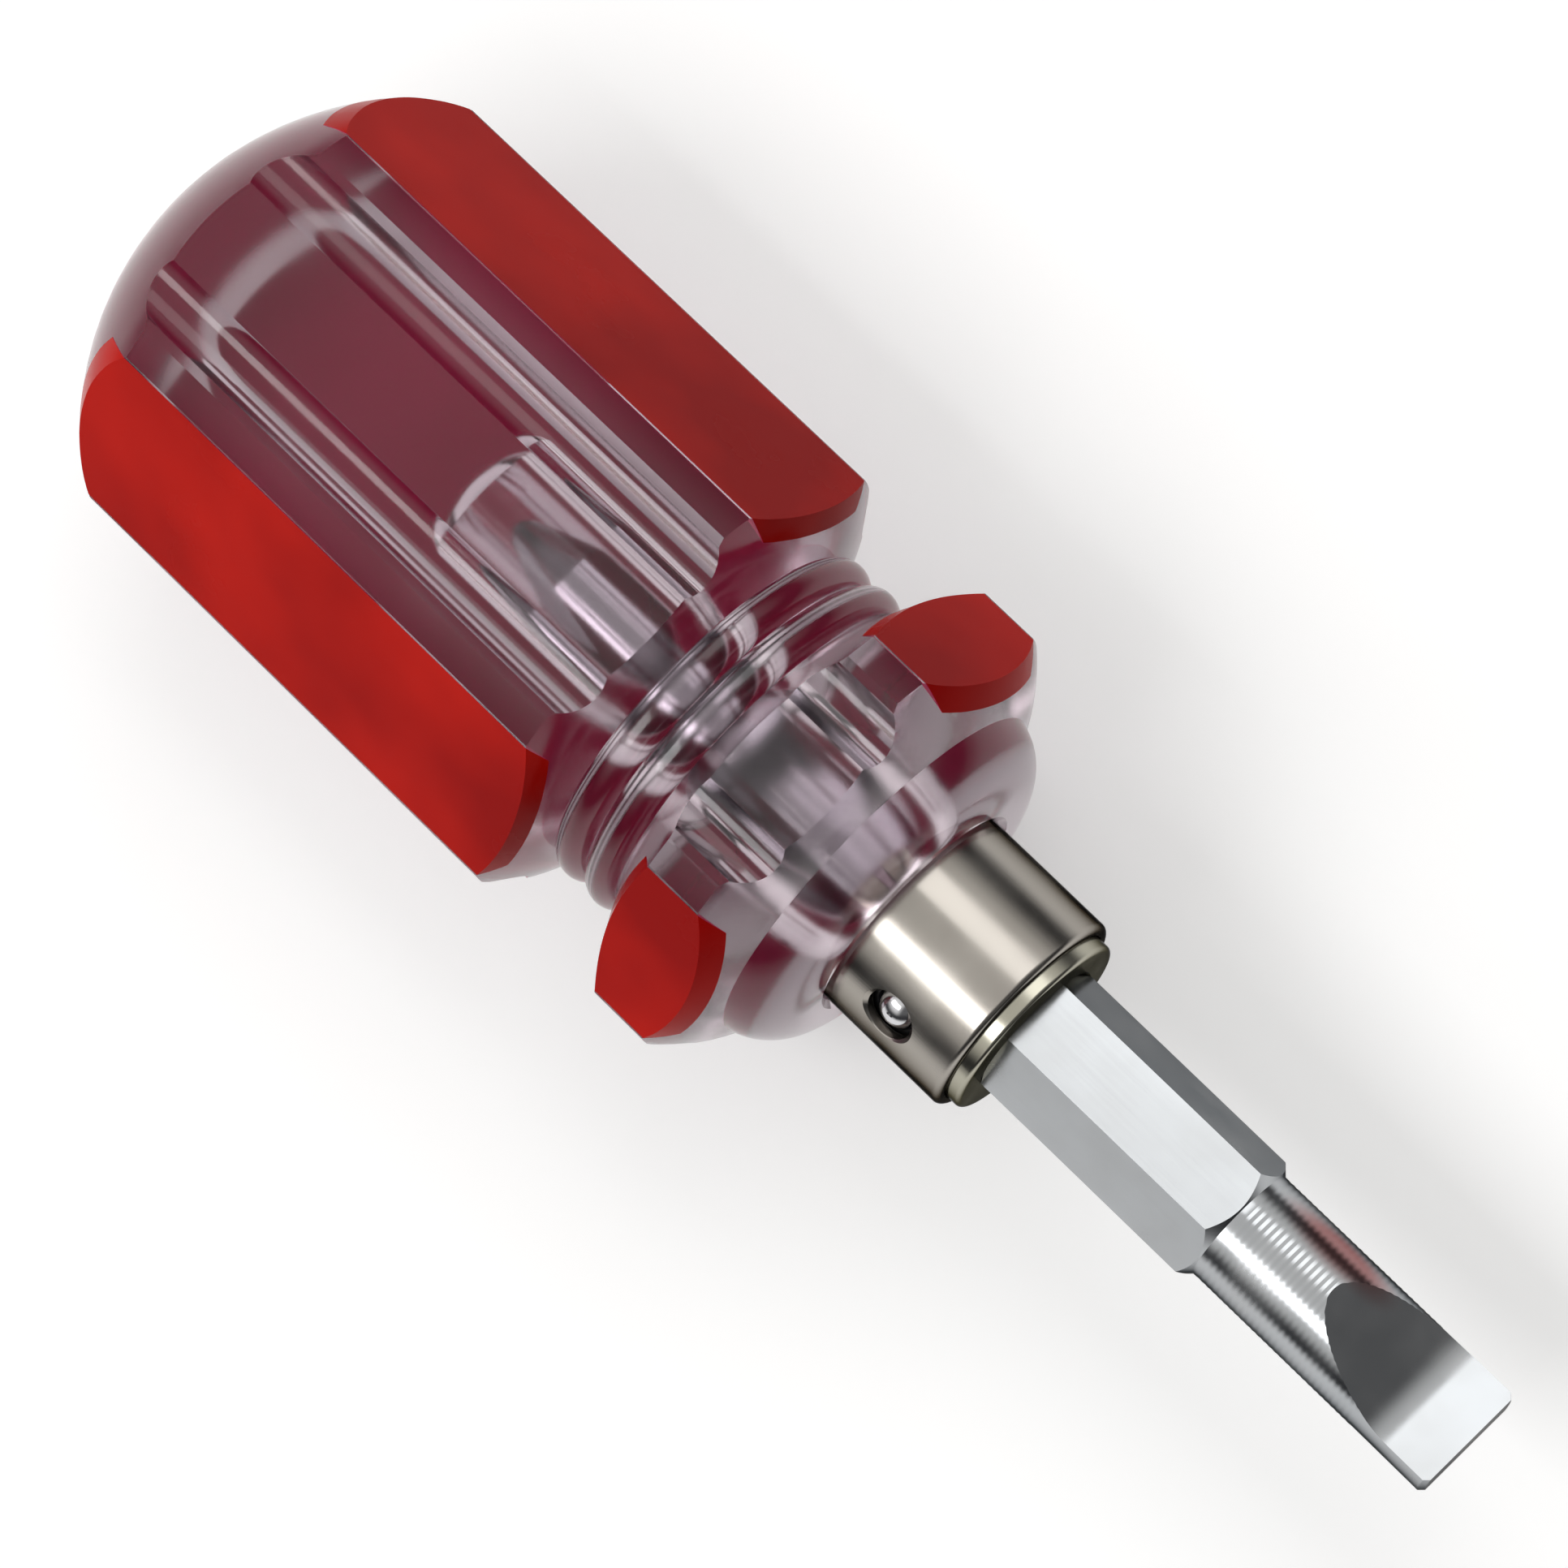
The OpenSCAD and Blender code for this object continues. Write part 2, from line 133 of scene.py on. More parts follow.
def mill(bm, normal, distance):
    """Cuts a solid off square at that distance along the normal and closes the cut."""
    bmesh.ops.bisect_plane(bm, geom=bm.verts[:] + bm.edges[:] + bm.faces[:], dist=on_plane,
                           plane_co=normal * distance, plane_no=normal, clear_outer=True)
    open_edges = [e for e in bm.edges if e.is_boundary]
    if open_edges:
        bmesh.ops.holes_fill(bm, edges=open_edges, sides=0)


def bar(radius, start, end, segments=96, end_radius=None):
    """Round or many-sided bar along the tool's axis, or a taper if it has an end radius."""
    bm = bmesh.new()
    lay = Matrix.Translation(((start + end) / 2, 0, 0)) @ Matrix.Rotation(math.pi / 2, 4, "Y")
    bmesh.ops.create_cone(bm, cap_ends=True, segments=segments, radius1=radius,
                          radius2=radius if end_radius is None else end_radius,
                          depth=end - start, matrix=lay)
    return bm


def strip_bar(bm, turn, bite=0):
    """Mills a solid to the section of a red strip, or to a slot that the strip bites into."""
    outwards = out_from_axis(turn)
    sideways = outwards.cross((1, 0, 0))
    slant = math.radians(strip_slant)
    half_w = math.sqrt(stock_r ** 2 - flat_r ** 2) - strip_lip
    mill(bm, -outwards, strip_t - flat_r - bite)
    for side in (sideways, -sideways):
        slanted = side * math.cos(slant) - outwards * math.sin(slant)
        mill(bm, slanted, half_w * math.cos(slant) - flat_r * math.sin(slant) - bite)
    return bm


def moved(bm, matrix):
    """The same mesh, moved."""
    bmesh.ops.transform(bm, matrix=matrix, verts=bm.verts)
    return bm


def machine(bm, cutters):
    """Takes the cutters' shapes out of a solid."""
    blank = bpy.data.objects.new("blank", bpy.data.meshes.new("blank"))
    used = [blank]
    for shape in cutters:
        cutter = bpy.data.objects.new("cutter", bpy.data.meshes.new("cutter"))
        shape.to_mesh(cutter.data)
        shape.free()
        cut = blank.modifiers.new("cut", "BOOLEAN")
        cut.operation, cut.solver, cut.object = "DIFFERENCE", "EXACT", cutter
        used.append(cutter)
    bm.to_mesh(blank.data)
    for obj in used:
        bpy.context.scene.collection.objects.link(obj)
    finished = blank.evaluated_get(bpy.context.evaluated_depsgraph_get())
    result = bpy.data.meshes.new_from_object(finished)
    bm.clear()
    bm.from_mesh(result)
    for mesh in [obj.data for obj in used] + [result]:
        bpy.data.meshes.remove(mesh)
    bmesh.ops.remove_doubles(bm, verts=bm.verts, dist=weld)


def fit(name, bm, body, nodes, materials, crisp=20):
    """Lays a finished mesh in its place in the tool, with its materials and body, and hides the CAD
    nodes it stands for.
    """
    moved(bm, Matrix.Translation((butt, 0, axis_height)) @ Matrix.Scale(mm, 4))
    mesh = bpy.data.meshes.new(name)
    bm.to_mesh(mesh)
    bm.free()
    mesh.shade_smooth()
    mesh.set_sharp_from_angle(angle=math.radians(crisp))
    obj = bpy.data.objects.new(name, mesh)
    bpy.context.scene.collection.objects.link(obj)
    for material in materials:
        mesh.materials.append(material)
    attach(obj, body)
    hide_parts(*nodes)


def on_arc(centre, radius, angle):
    """Point of a circle at an angle from straight out, leaning to the tip."""
    lean = math.radians(angle)
    return centre[0] + radius * math.sin(lean), centre[1] + radius * math.cos(lean)


def shoulder_to(end_out, front, runout):
    """Convex shoulder that runs out from the flats and ends that far from the axis."""
    centre = on_arc((front, stock_r), shoulder_r, runout + 180)
    end = math.degrees(math.acos((end_out - centre[1]) / shoulder_r))
    return centre, on_arc(centre, shoulder_r, end)


def crown_and_flats():
    """The crown, its rounded edge, and the line of the flats to the grip's front shoulder."""
    edge_out = stock_r + crown_over - crown_edge_r
    lean = math.degrees(math.asin(edge_out / (crown_r - crown_edge_r)))
    edge = on_arc((crown_r, 0), crown_r - crown_edge_r, lean - 90)
    edge_len = math.sqrt(crown_edge_r ** 2 - (stock_r - edge_out) ** 2)
    return [((crown_r, 0), on_arc((crown_r, 0), crown_r, lean - 90)),
            (edge, (edge[0] - edge_len, stock_r)),
            (grip_len, stock_r),
            shoulder_to(neck_r, grip_len, grip_runout)]


def ridged_neck():
    """Rounded ridges that share the neck, up to the guard's rear cone."""
    start = shoulder_to(neck_r, grip_len, grip_runout)[1][0]
    pitch = (neck_end - start) / ridges
    centre_out = ridge_r - pitch / 2
    half = math.degrees(math.acos((neck_r - centre_out) / (pitch / 2)))
    moves = []
    for i in range(ridges):
        centre = (start + (i + 0.5) * pitch, centre_out)
        moves += [on_arc(centre, pitch / 2, -half), (centre, on_arc(centre, pitch / 2, half))]
    return moves


neck_end = guard_back - (stock_r - neck_r) / math.tan(math.radians(guard_slope))
bead = (nose_face - bead_round, bead_r - bead_round)
guard_curve = on_arc((guard_front, stock_r), shoulder_r, guard_runout + 180)
crossings = geometry.intersect_sphere_sphere_2d(guard_curve, shoulder_r, bead, bead_round)
bead_start = max(crossings, key=lambda point: point[1])
dish_r = (shank_bore_r ** 2 + bore_dish ** 2) / (2 * bore_dish)
handle = turned((0, 0), crown_and_flats() + ridged_neck() + [
    (neck_end, neck_r), (guard_back, stock_r), (guard_front, stock_r),
    (guard_curve, bead_start), (bead, (nose_face, bead[1])),
    (nose_face, seat_r + nose_sink), (nose_face - nose_sink, seat_r), (seat_floor, seat_r),
    (seat_floor, spigot_r), (spigot_end, spigot_r), (spigot_end, tail_bore_r),
    (tail_floor, tail_bore_r), (tail_floor, bore_r), (bore_step, bore_r),
    (bore_step, shank_bore_r), (bore_bottom + bore_dish, shank_bore_r),
    ((bore_bottom + dish_r, 0), (bore_bottom, 0))], closed=False)
for turn in red_turns:
    mill(handle, out_from_axis(turn), flat_r - strip_bite)
for turn in clear_turns:
    mill(handle, out_from_axis(turn), flat_r)

full_length = (-cutter_over, nose_face + cutter_over)
flute_r = ((flute_w / 2) ** 2 + flute_depth ** 2) / (2 * flute_depth)
flutes = []
for turn in clear_turns:
    outwards = out_from_axis(turn)
    sideways = outwards.cross((1, 0, 0))
    for side in (-1, 1):
        middle = outwards * (flat_r + flute_r - flute_depth) + sideways * side * flute_pitch / 2
        flutes.append(moved(bar(flute_r, *full_length), Matrix.Translation(middle)))
slots = [strip_bar(bar(slot_blank_r, *full_length), turn, strip_bite) for turn in red_turns]
machine(handle, flutes + slots)


def lay_node(tree, kind, inputs=None, **settings):
    """Adds a shader node, sets it, and fills its inputs with values or other nodes' outputs."""
    node = tree.nodes.new("ShaderNode" + kind)
    for key, value in settings.items():
        setattr(node, key, value)
    for key, value in (inputs or {}).items():
        if isinstance(value, bpy.types.NodeSocket):
            tree.links.new(value, node.inputs[key])
        else:
            node.inputs[key].default_value = value
    return node


def finish_of(name, surface):
    """New material with its tree, its Principled BSDF set to constants, and the object's place."""
    material = bpy.data.materials.new(name)
    material.use_nodes = True
    tree = material.node_tree
    bsdf = tree.nodes["Principled BSDF"]
    for key, value in surface.items():
        bsdf.inputs[key].default_value = value
    return material, tree, bsdf, lay_node(tree, "TexCoord").outputs["Object"]


def effect(name, inputs, output):
    """Empty node group with a place, named numbers and one output."""
    group = bpy.data.node_groups.new(name, "ShaderNodeTree")
    group.interface.new_socket(name="Place", in_out="INPUT", socket_type="NodeSocketVector")
    for key in inputs:
        group.interface.new_socket(name=key, in_out="INPUT", socket_type="NodeSocketFloat")
    group.interface.new_socket(name=output, in_out="OUTPUT", socket_type="NodeSocketFloat")
    given = group.nodes.new("NodeGroupInput").outputs
    return group, given, group.nodes.new("NodeGroupOutput").inputs[output]


# Broad, soft changes of gloss, as handling leaves.
handling, given, made = effect("handling", ["Size", "Low", "High"], "Roughness")
cloud = lay_node(handling, "TexNoise", {
    "Vector": given["Place"], "Scale": given["Size"], "Detail": 4.0})
span = lay_node(handling, "MapRange", {
    "Value": cloud.outputs["Fac"], "From Min": 0.35, "From Max": 0.7,
    "To Min": given["Low"], "To Max": given["High"]})
handling.links.new(span.outputs["Result"], made)

# Fine lines along the tool, as drawing and polishing leave.
drawn, given, made = effect("drawn lines", ["Fineness", "Stretch"], "Height")
split = lay_node(drawn, "SeparateXYZ", {"Vector": given["Place"]}).outputs
slow = lay_node(drawn, "Math", {0: split["X"], 1: given["Stretch"]}, operation="MULTIPLY")
joined = lay_node(drawn, "CombineXYZ", {"X": slow.outputs[0], "Y": split["Y"], "Z": split["Z"]})
grain = lay_node(drawn, "TexNoise", {
    "Vector": joined.outputs[0], "Scale": given["Fineness"], "Detail": 3.0})
drawn.links.new(grain.outputs["Fac"], made)


def smudged(tree, bsdf, place, size, low, high):
    """Clouds the gloss."""
    gloss = lay_node(tree, "Group", {"Place": place, "Size": size, "Low": low, "High": high},
                     node_tree=handling)
    tree.links.new(gloss.outputs["Roughness"], bsdf.inputs["Roughness"])


def lined(tree, bsdf, place, fineness, stretch, strength, depth):
    """Lays fine lines in the surface, along the tool."""
    lines = lay_node(tree, "Group", {"Place": place, "Fineness": fineness, "Stretch": stretch},
                     node_tree=drawn)
    bump = lay_node(tree, "Bump", {
        "Height": lines.outputs["Height"], "Strength": strength, "Distance": depth})
    tree.links.new(bump.outputs["Normal"], bsdf.inputs["Normal"])


acetate, tree, bsdf, place = finish_of("clear acetate", {
    "Base Color": acetate_colour, "Transmission Weight": 1.0, "IOR": acetate_ior})
smudged(tree, bsdf, place, size=120.0, low=0.09, high=0.2)
lined(tree, bsdf, place, fineness=700.0, stretch=0.02, strength=0.15, depth=0.00003)
tint = lay_node(tree, "VolumeAbsorption", {"Color": acetate_tint, "Density": acetate_density})
tree.links.new(tint.outputs["Volume"], tree.nodes["Material Output"].inputs["Volume"])
fit("clear_handle", handle, "handle_body", ["handle"], [acetate])

# Red strips: red acetate let into three of the six flats, one length on the grip and one on the
# guard, bonded into slots and polished down with the clear plastic. The bonded faces have no
# gloss. A strip stands a hair proud of the turned shape, so that the two never share a face.
proud, proud_middle, outer_side = 1.0008, 20, 0.2
red_dull, red_bright = (0.32, 0.002, 0.001, 1), (0.58, 0.010, 0.004, 1)
bonded_dull, bonded_bright = (0.86, 0.060, 0.190, 1), (0.97, 0.085, 0.250, 1)


def mottled(tree, bsdf, place, size, detail, dull, bright, span=None):
    """Lets the colour drift between two shades in clouds. A span of the noise makes the clouds
    more distinct."""
    mask = lay_node(tree, "TexNoise", {
        "Vector": place, "Scale": size, "Detail": detail}).outputs["Fac"]
    if span:
        mask = lay_node(tree, "MapRange", {
            "Value": mask, "From Min": span[0], "From Max": span[1]}).outputs["Result"]
    shade = lay_node(tree, "MixRGB", {"Fac": mask, "Color1": dull, "Color2": bright})
    tree.links.new(shade.outputs[0], bsdf.inputs["Base Color"])


red, tree, bsdf, place = finish_of("red strip", {"IOR": acetate_ior, "Specular IOR Level": 0.02})
smudged(tree, bsdf, place, size=150.0, low=0.16, high=0.30)
mottled(tree, bsdf, place, 60.0, 3.0, red_dull, red_bright, span=(0.35, 0.65))
lined(tree, bsdf, place, fineness=1500.0, stretch=0.03, strength=0.2, depth=0.00002)

bonded, tree, bsdf, place = finish_of("red strip, bonded side", {
    "Roughness": 1.0, "Specular IOR Level": 0.0})
mottled(tree, bsdf, place, 160.0, 3.0, bonded_dull, bonded_bright)


def strip(name, section, turn):
    """Strip of one flat: the turned solid, milled down to a thin flat bar."""
    bm = turned(section[0], section[1:], closed=False)
    moved(bm, Matrix.Translation((proud_middle, 0, 0)) @ Matrix.Scale(proud, 4)
          @ Matrix.Translation((-proud_middle, 0, 0)))
    outwards = out_from_axis(turn)
    mill(bm, outwards, flat_r)
    strip_bar(bm, turn)
    for face in bm.faces:
        face.normal_update()
        face.material_index = 0 if face.normal.dot(outwards) > outer_side else 1
    fit("red_" + name, bm, "handle_body", [name], [red, bonded])


grip_end = (shoulder_to(neck_r, grip_len, grip_runout)[1][0], 0)
grip_section = [(0, 0)] + crown_and_flats() + [grip_end]
guard_section = [(neck_end, 0), (neck_end, neck_r), (guard_back, stock_r), (guard_front, stock_r),
                 shoulder_to(neck_r, guard_front, guard_runout), (nose_face, 0)]
for side, turn in zip(("bottom", "left", "right"), red_turns):
    strip("grip_strip_" + side, grip_section, turn)
    strip("guard_strip_" + side, guard_section, turn)

# Ferrule: a short tube of steel, bright nickel plated and pressed over the socket and the
# handle's spigot. A bevelled round window near its middle lets the detent ball show.
ferrule_back, ferrule_front, ferrule_r, ferrule_bore_r = 49, 57.4, 5.75, 5.17
rim_r, break_edge = 0.35, 0.08
window_r, window_bevel, ball_along, ball_turn = 1.3, 0.2, 53.4, 232
window_start, window_end = 1, 8
nickel_dull, nickel_bright = (0.33, 0.305, 0.275, 1), (0.44, 0.415, 0.38, 1)

at_ball = (Matrix.Translation((ball_along, 0, 0))
           @ Matrix.Rotation(math.radians(ball_turn), 4, "X")
           @ Matrix.Rotation(math.pi / 2, 4, "Y"))
back_edge, front_edge = ferrule_back + break_edge, ferrule_front - break_edge
outer_edge, bore_edge = ferrule_r - break_edge, ferrule_bore_r + break_edge
rim_start, rim_out = ferrule_front - rim_r, ferrule_r - rim_r
ferrule = turned((ferrule_back, ferrule_bore_r), [
    (ferrule_back, outer_edge), ((back_edge, outer_edge), (back_edge, ferrule_r)),
    (rim_start, ferrule_r), ((rim_start, rim_out), (ferrule_front, rim_out)),
    (ferrule_front, bore_edge), ((front_edge, bore_edge), (front_edge, ferrule_bore_r))])
machine(ferrule, [
    moved(bar(window_r, window_start, window_end), at_ball),
    moved(bar(window_r, ferrule_r - window_bevel, ferrule_r + window_bevel,
              end_radius=window_r + 2 * window_bevel), at_ball)])


def grey(level):
    """Neutral colour."""
    return level, level, level, 1


def plated(name, gloss, size, dull, bright, edge):
    """Metal with clouded gloss and colour, and the reflection of its edges toned down."""
    metal, tree, bsdf, place = finish_of(name, {"Metallic": 1.0, "Specular Tint": grey(edge)})
    smudged(tree, bsdf, place, size, *gloss)
    mottled(tree, bsdf, place, size, 4.0, dull, bright)
    return metal, tree, bsdf, place


nickel, tree, bsdf, place = plated(
    "nickel plate", (0.16, 0.28), 220.0, nickel_dull, nickel_bright, edge=0.0)
lined(tree, bsdf, place, fineness=2200.0, stretch=0.05, strength=0.25, depth=0.00001)
fit("plated_ferrule", ferrule, "handle_body", ["ferrule"], [nickel])

# Socket: turned steel with a hexagonal bore. Its body fills the ferrule and shows as a bevelled
# ring in front of it. Its splined tail is pressed into the nose, where it shows through the
# plastic. A groove round it holds the spring band, and a hole in the groove the ball.
socket_back, socket_front, socket_r, socket_bevel = 47.2, 58.2, 5.15, 0.25
tail_r, splines, spline_depth, spline_over = 4.4, 16, 0.25, 0.5
hex_half, slide_gap, key_turn = 3.175, 0.05, 172
hex_bore_start, hex_bore_end, pilot_r = 40, 60, 1
groove_r, groove_half = 4.7, 1.63
ball_hole_r, ball_hole_start, ball_hole_end = 1.23, 3.4, 9
steel_dull, steel_bright = (0.37, 0.355, 0.29, 1), (0.49, 0.475, 0.40, 1)
hex_slope = math.cos(math.radians(30))

groove_back, groove_front = ball_along - groove_half, ball_along + groove_half
bevel_start, bevel_out = socket_front - socket_bevel, socket_r - socket_bevel
socket = turned((socket_back, pilot_r), [
    (socket_back, tail_r), (spigot_end, tail_r), (spigot_end, socket_r),
    (groove_back, socket_r), (groove_back, groove_r),
    (groove_front, groove_r), (groove_front, socket_r),
    (bevel_start, socket_r), ((bevel_start, bevel_out), (socket_front, bevel_out)),
    (socket_front, pilot_r)])
hexagon = moved(bar((hex_half + slide_gap) / hex_slope, hex_bore_start, hex_bore_end, segments=6),
                Matrix.Rotation(math.radians(key_turn), 4, "X"))
mouth = bar(hex_half + slide_gap, bevel_start, socket_front + socket_bevel,
            end_radius=hex_half + slide_gap + 2 * socket_bevel * math.sqrt(3))
ball_hole = moved(bar(ball_hole_r, ball_hole_start, ball_hole_end), at_ball)
spline_cut = bmesh.new()
spline_middle = Vector(((socket_back + spigot_end - spline_over) / 2, 0, 0))
for i in range(splines):
    out = out_from_axis(i * 360 / splines) * tail_r
    lay = Matrix.Translation(out + spline_middle) @ Matrix.Rotation(math.pi / 2, 4, "Y")
    bmesh.ops.create_cone(spline_cut, cap_ends=True, segments=16, radius1=spline_depth,
                          radius2=spline_depth, depth=spigot_end - socket_back + spline_over,
                          matrix=lay)
machine(socket, [hexagon, mouth, spline_cut, ball_hole])

steel = plated("turned steel", (0.14, 0.28), 300.0, steel_dull, steel_bright, edge=0.1)[0]
fit("steel_socket", socket, "handle_body", ["socket"], [steel])

# Detent spring and ball: an open band of rolled spring steel sits in the socket's groove. The
# hole in it holds a polished ball that stands on a flat of the bit. Both are the CAD solids.
spring_dull, spring_bright = (0.20, 0.20, 0.21, 1), (0.34, 0.34, 0.36, 1)
ball_dull, ball_bright = (0.55, 0.55, 0.57, 1), (0.68, 0.68, 0.70, 1)

spring_steel, tree, bsdf, place = finish_of("rolled spring steel", {
    "Metallic": 1.0, "Roughness": 0.3})
mottled(tree, bsdf, place, 900.0, 3.0, spring_dull, spring_bright)
ball_steel, tree, bsdf, place = finish_of("polished ball", {"Metallic": 1.0})
smudged(tree, bsdf, place, size=900.0, low=0.08, high=0.2)
mottled(tree, bsdf, place, 1200.0, 3.0, ball_dull, ball_bright)
for node, material in (("detent_spring", spring_steel), ("detent_ball", ball_steel)):
    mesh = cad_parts[node].data
    mesh.materials.clear()
    mesh.materials.append(material)

# Bit: one bar of tool steel, hexagonal in the middle and turned round at both ends, then satin
# plated. The front end is ground on both sides to a slotted blade, and the rear end is fluted to a
# cross point. The blade is turned a little from the hexagon's flats.
bit_back, bit_front, shank_len, shank_r = 23.9, 86.1, 14.6, 3.1
blade_half, blade_ground, blade_flat, blade_round, blade_skew = 0.9, 9.1, 3.4, 5, 6
tip_bevel, grind_half_w, grind_over, grind_far = 0.25, 8, 1, 3
cross_flat_r, cross_blunt_r, cross_blunt_len, cross_cone = 0.5, 1.25, 0.55, 26.5
wing_t, wing_len, wings, groove_side, groove_stretch = 1, 8, 4, 8, 3
ring_start, ring_pitch, ring_depth, ring_edges = 0.2, 0.36, 0.02, 56
bit_dull, bit_bright = (0.39, 0.41, 0.43, 1), (0.52, 0.53, 0.54, 1)
# A reddish brown patch of colour on one side of the shank's rings, just behind the blade.
reddish_colour = (0.30, 0.04, 0.03, 1)
reddish_along, reddish_side, reddish_up, reddish_stretch = 76, 2.3, 2.1, 0.36
reddish_core, reddish_edge, reddish_strength = 0.5, 1.5, 0.65

hex_corner = hex_half / hex_slope
bevel_len = hex_corner - shank_r
hex_back, hex_front = bit_back + shank_len, bit_front - shank_len
cone_len = (shank_r - cross_blunt_r) / math.tan(math.radians(cross_cone))
cone_end = bit_back + cross_blunt_len + cone_len
rings = [(hex_front + ring_start + i * ring_pitch / 2, shank_r - ring_depth * (i % 2))
         for i in range(ring_edges)]
bit = turned((bit_back, 0), [
    (bit_back, cross_flat_r), (bit_back + cross_blunt_len, cross_blunt_r), (cone_end, shank_r),
    (hex_back, shank_r), (hex_back + bevel_len, hex_corner), (hex_front - bevel_len, hex_corner),
    (hex_front, shank_r)] + rings + [
    (bit_front - tip_bevel, shank_r), (bit_front, shank_r - tip_bevel), (bit_front, 0)],
    closed=False, steps=144)
for i in range(6):
    mill(bit, out_from_axis(key_turn + 60 * i), hex_half)

# The grinding wheel's shape: the blade's flat, a round corner and the slope up to the shank.
slope = math.atan((shank_r - blade_half) / (blade_ground - blade_flat))
tangent = blade_round * math.tan(slope / 2)
corner = (bit_front - blade_flat, blade_half)
far = blade_ground + grind_far
grind = bmesh.new()
start = grind.verts.new((corner[0] - far * math.cos(slope), -grind_half_w,
                         corner[1] + far * math.sin(slope)))
pen = draw_line(grind, start, (corner[0] - tangent * math.cos(slope), -grind_half_w,
                               corner[1] + tangent * math.sin(slope)))
pen = draw_arc(grind, pen, (corner[0] + tangent, -grind_half_w, blade_half + blade_round),
               -slope, 16)
for out in (blade_half, start.co.z):
    pen = draw_line(grind, pen, (bit_front + grind_over, -grind_half_w, out))
grind.edges.new((pen, start))
face = bmesh.ops.contextual_create(grind, geom=grind.edges[:])["faces"]
pushed = bmesh.ops.extrude_face_region(grind, geom=face)
bmesh.ops.translate(grind, vec=(0, 2 * grind_half_w, 0), verts=verts_in(pushed["geom"]))
bmesh.ops.recalc_face_normals(grind, faces=grind.faces)
other = grind.copy()
cutters = [moved(grind, Matrix.Rotation(math.radians(key_turn - blade_skew + 180), 4, "X")),
           moved(other, Matrix.Rotation(math.radians(key_turn - blade_skew), 4, "X"))]

# Four square grooves, each with a corner inwards, leave the cross point's wings.
web = wing_t / math.sqrt(2)
wing_slope = math.atan((shank_r - web) / wing_len)
for i in range(wings):
    groove = bmesh.new()
    bmesh.ops.create_cube(groove, size=groove_side)
    moved(groove, Matrix.Diagonal((groove_stretch, 1, 1, 1)) @ Matrix.Rotation(math.pi / 4, 4, "X"))
    moved(groove, Matrix.Translation((0, 0, groove_side / 2 * math.sqrt(2))))
    turn = math.radians(key_turn + (360 * i + 180) / wings)
    cutters.append(moved(groove, Matrix.Rotation(turn, 4, "X")
                         @ Matrix.Translation((bit_back, 0, web))
                         @ Matrix.Rotation(-wing_slope, 4, "Y")))
machine(bit, cutters)


def eased(tree, value, start, end, first=0.0, last=1.0):
    """Goes softly from the first number to the last while the value goes from start to end."""
    limits = {"Value": value, "From Min": start, "From Max": end, "To Min": first, "To Max": last}
    return lay_node(tree, "MapRange", limits, interpolation_type="SMOOTHSTEP").outputs["Result"]


def reach(tree, place):
    """Length of a vector."""
    return lay_node(tree, "VectorMath", {0: place}, operation="LENGTH").outputs["Value"]


# The shank's rings get a reddish brown patch of colour on one side, just behind the blade.
bit_steel, tree, bsdf, place = plated(
    "satin plated steel", (0.16, 0.28), 260.0, bit_dull, bit_bright, edge=0.05)
lined(tree, bsdf, place, fineness=1800.0, stretch=0.04, strength=0.2, depth=0.00001)
# The patch is an oval about a point to one side of the shank, mixed into the base colour.
middle = Vector((butt + reddish_along * mm, reddish_side * mm, axis_height + reddish_up * mm))
away = lay_node(tree, "VectorMath", {0: place, 1: middle}, operation="SUBTRACT")
away = lay_node(tree, "VectorMath", {0: away.outputs[0], 1: (reddish_stretch, 1.0, 1.0)},
                operation="MULTIPLY")
patch = eased(tree, reach(tree, away.outputs[0]), reddish_core * mm, reddish_edge * mm,
              first=reddish_strength, last=0.0)
plain_colour = bsdf.inputs["Base Color"].links[0].from_socket
reddened = lay_node(tree, "MixRGB", {"Fac": patch, "Color1": plain_colour, "Color2": reddish_colour})
tree.links.new(reddened.outputs[0], bsdf.inputs["Base Color"])
fit("double_ended_bit", bit, "bit_body", ["bit"], [bit_steel], crisp=12)

# Studio: a white table under a soft sky that is brightest overhead and behind the butt, and two
# soft lamps above the handle's sides. None of it is part of the tool. Gloss and clear plastic see
# the same white table as the eye. The table's colour is a painted pool of light, pale near the
# tool and growing darker well away from it.
table_half, table_glow = 0.8, 0.35
# Greys and distances of the painted pool of light on the table: pale near the tool, grey far off.
painted_pool_grey, painted_dim_grey, near_end, far_start = 0.82, 0.38, 0.052, 0.17
sky_dark, sky_bright = (0.04, 0.04, 0.043, 1), (0.82, 0.81, 0.79, 1)
sky_low, sky_high, front_start, front_end, front_dim = 0.18, 0.6, 0.12, 0.5, 0.14

table = bpy.data.objects.new("table", bpy.data.meshes.new("table"))
bm = bmesh.new()
bmesh.ops.create_grid(bm, x_segments=1, y_segments=1, size=table_half)
bm.to_mesh(table.data)
bm.free()
bpy.context.scene.collection.objects.link(table)
white, tree, bsdf, place = finish_of("white table", {"Roughness": 0.9, "Specular IOR Level": 0.1})
# Painted pool of light: the table's colour falls from pale near the tool to grey far from it.
painted_pool_fall = eased(tree, reach(tree, place), near_end, far_start)
shade = lay_node(tree, "MixRGB", {
    "Fac": painted_pool_fall, "Color1": grey(painted_pool_grey), "Color2": grey(painted_dim_grey)})
tree.links.new(shade.outputs[0], bsdf.inputs["Base Color"])
path = lay_node(tree, "LightPath").outputs
seen = path["Is Camera Ray"]
for ray in ("Is Glossy Ray", "Is Transmission Ray"):
    seen = lay_node(tree, "Math", {0: seen, 1: path[ray]}, operation="MAXIMUM").outputs[0]
glow = lay_node(tree, "Math", {0: seen, 1: table_glow}, operation="MULTIPLY")
tree.links.new(shade.outputs[0], bsdf.inputs["Emission Color"])
tree.links.new(glow.outputs[0], bsdf.inputs["Emission Strength"])
table.data.materials.append(white)

